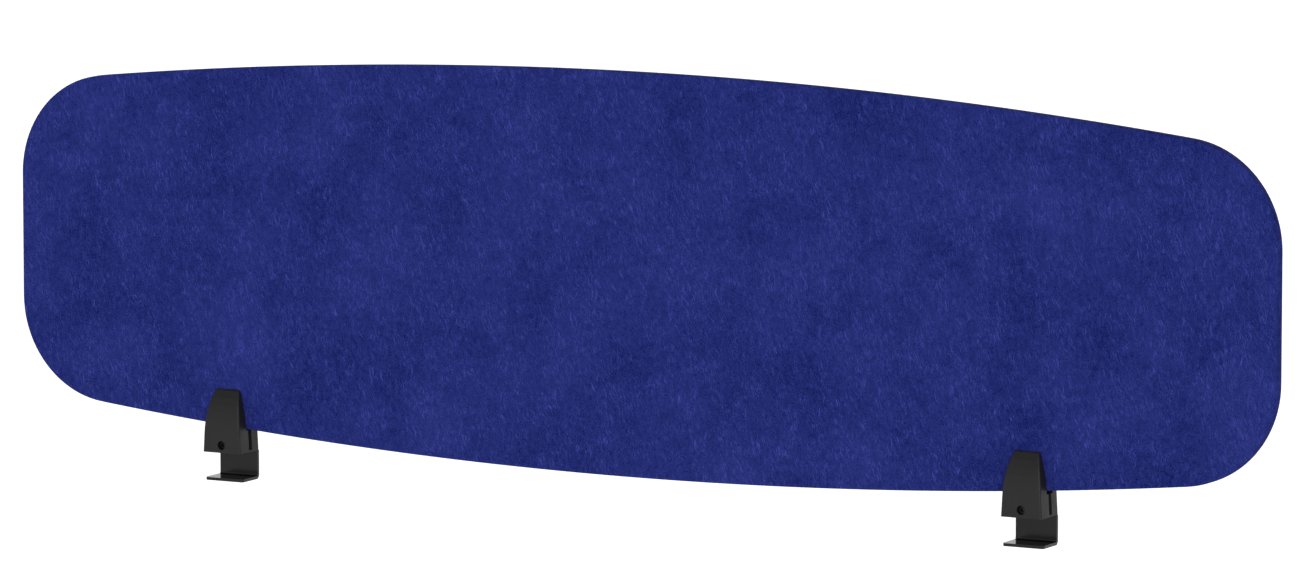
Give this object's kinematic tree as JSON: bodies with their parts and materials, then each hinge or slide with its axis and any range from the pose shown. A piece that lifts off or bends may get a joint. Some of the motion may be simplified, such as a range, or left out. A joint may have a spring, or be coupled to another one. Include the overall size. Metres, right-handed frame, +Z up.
{
  "type": "acoustic divider screen",
  "caption": "Desk-top acoustic divider: a bowed pressed-felt panel gripped by screw clamps whose sliding brackets hold the edge of a desk top.",
  "frame": {"origin": "on the desk top's surface, under the middle of the panel's length, in the panel's mid-plane", "axes": "+X along the panel, +Y from its front, where the clamp screws are, to its back, +Z up"},
  "size_m": [1.4, 0.0405, 0.4357],
  "materials": {
    "panel_felt": "pressed polyester felt, mottled royal blue",
    "jaw_nylon": "glass-filled nylon, fine moulded grain, black",
    "bracket_paint": "satin black powder coat on bent steel",
    "screw_steel": "black oxide on steel",
    "insert_brass": "turned and knurled",
    "pad_rubber": "moulded, matt"
  },
  "bodies": {
    "clamp_bases": {"left_rear_jaw": "jaw_nylon", "left_clamp_insert": "insert_brass", "left_lock_insert": "insert_brass", "right_rear_jaw": "jaw_nylon", "right_clamp_insert": "insert_brass", "right_lock_insert": "insert_brass"},
    "panel": {"acoustic_panel": "panel_felt"},
    "left_front_jaw": {"left_front_jaw": "jaw_nylon", "left_clamp_washer": "screw_steel", "left_desk_pad": "pad_rubber"},
    "left_clamp_screw": {"left_clamp_screw": "screw_steel"},
    "left_desk_bracket": {"left_desk_bracket": "bracket_paint"},
    "left_lock_washer": {"left_lock_washer": "screw_steel"},
    "left_lock_screw": {"left_lock_screw": "screw_steel"},
    "right_front_jaw": {"right_front_jaw": "jaw_nylon", "right_clamp_washer": "screw_steel", "right_desk_pad": "pad_rubber"},
    "right_clamp_screw": {"right_clamp_screw": "screw_steel"},
    "right_desk_bracket": {"right_desk_bracket": "bracket_paint"},
    "right_lock_washer": {"right_lock_washer": "screw_steel"},
    "right_lock_screw": {"right_lock_screw": "screw_steel"}
  },
  "joints": [
    {"name": "panel_lift", "type": "slide", "parent": "clamp_bases", "child": "panel", "axis": [0, 0, 1], "range_m": [0, 0.05]},
    {"name": "left_front_jaw_slide", "type": "slide", "parent": "clamp_bases", "child": "left_front_jaw", "axis": [0, -1, 0], "range_m": [0, 0.0024]},
    {"name": "left_clamp_screw_turn", "type": "hinge", "parent": "left_front_jaw", "child": "left_clamp_screw", "pos_m": [-0.4563, -0.0127, 0.0076], "axis": [0, -1, 0], "range_deg": [0, 1080]},
    {"name": "left_desk_bracket_slide", "type": "slide", "parent": "clamp_bases", "child": "left_desk_bracket", "axis": [0, 0, -1], "range_m": [0, 0.015]},
    {"name": "left_lock_washer_slide", "type": "slide", "parent": "clamp_bases", "child": "left_lock_washer", "axis": [0, 1, 0], "range_m": [0, 0.0008]},
    {"name": "left_lock_screw_turn", "type": "hinge", "parent": "left_lock_washer", "child": "left_lock_screw", "pos_m": [-0.4563, 0.017, 0.0168], "axis": [0, 1, 0], "range_deg": [0, 360]},
    {"name": "right_front_jaw_slide", "type": "slide", "parent": "clamp_bases", "child": "right_front_jaw", "axis": [0, -1, 0], "range_m": [0, 0.0024]},
    {"name": "right_clamp_screw_turn", "type": "hinge", "parent": "right_front_jaw", "child": "right_clamp_screw", "pos_m": [0.4393, -0.0127, 0.0076], "axis": [0, -1, 0], "range_deg": [0, 1080]},
    {"name": "right_desk_bracket_slide", "type": "slide", "parent": "clamp_bases", "child": "right_desk_bracket", "axis": [0, 0, -1], "range_m": [0, 0.015]},
    {"name": "right_lock_washer_slide", "type": "slide", "parent": "clamp_bases", "child": "right_lock_washer", "axis": [0, 1, 0], "range_m": [0, 0.0008]},
    {"name": "right_lock_screw_turn", "type": "hinge", "parent": "right_lock_washer", "child": "right_lock_screw", "pos_m": [0.4393, 0.017, 0.0168], "axis": [0, 1, 0], "range_deg": [0, 360]}
  ],
  "couplings": [
    {"joint": "left_clamp_screw_turn", "follows": "left_front_jaw_slide", "rad_per_m": 7854},
    {"joint": "left_lock_screw_turn", "follows": "left_lock_washer_slide", "rad_per_m": 7854},
    {"joint": "right_clamp_screw_turn", "follows": "right_front_jaw_slide", "rad_per_m": 7854},
    {"joint": "right_lock_screw_turn", "follows": "right_lock_washer_slide", "rad_per_m": 7854}
  ]
}
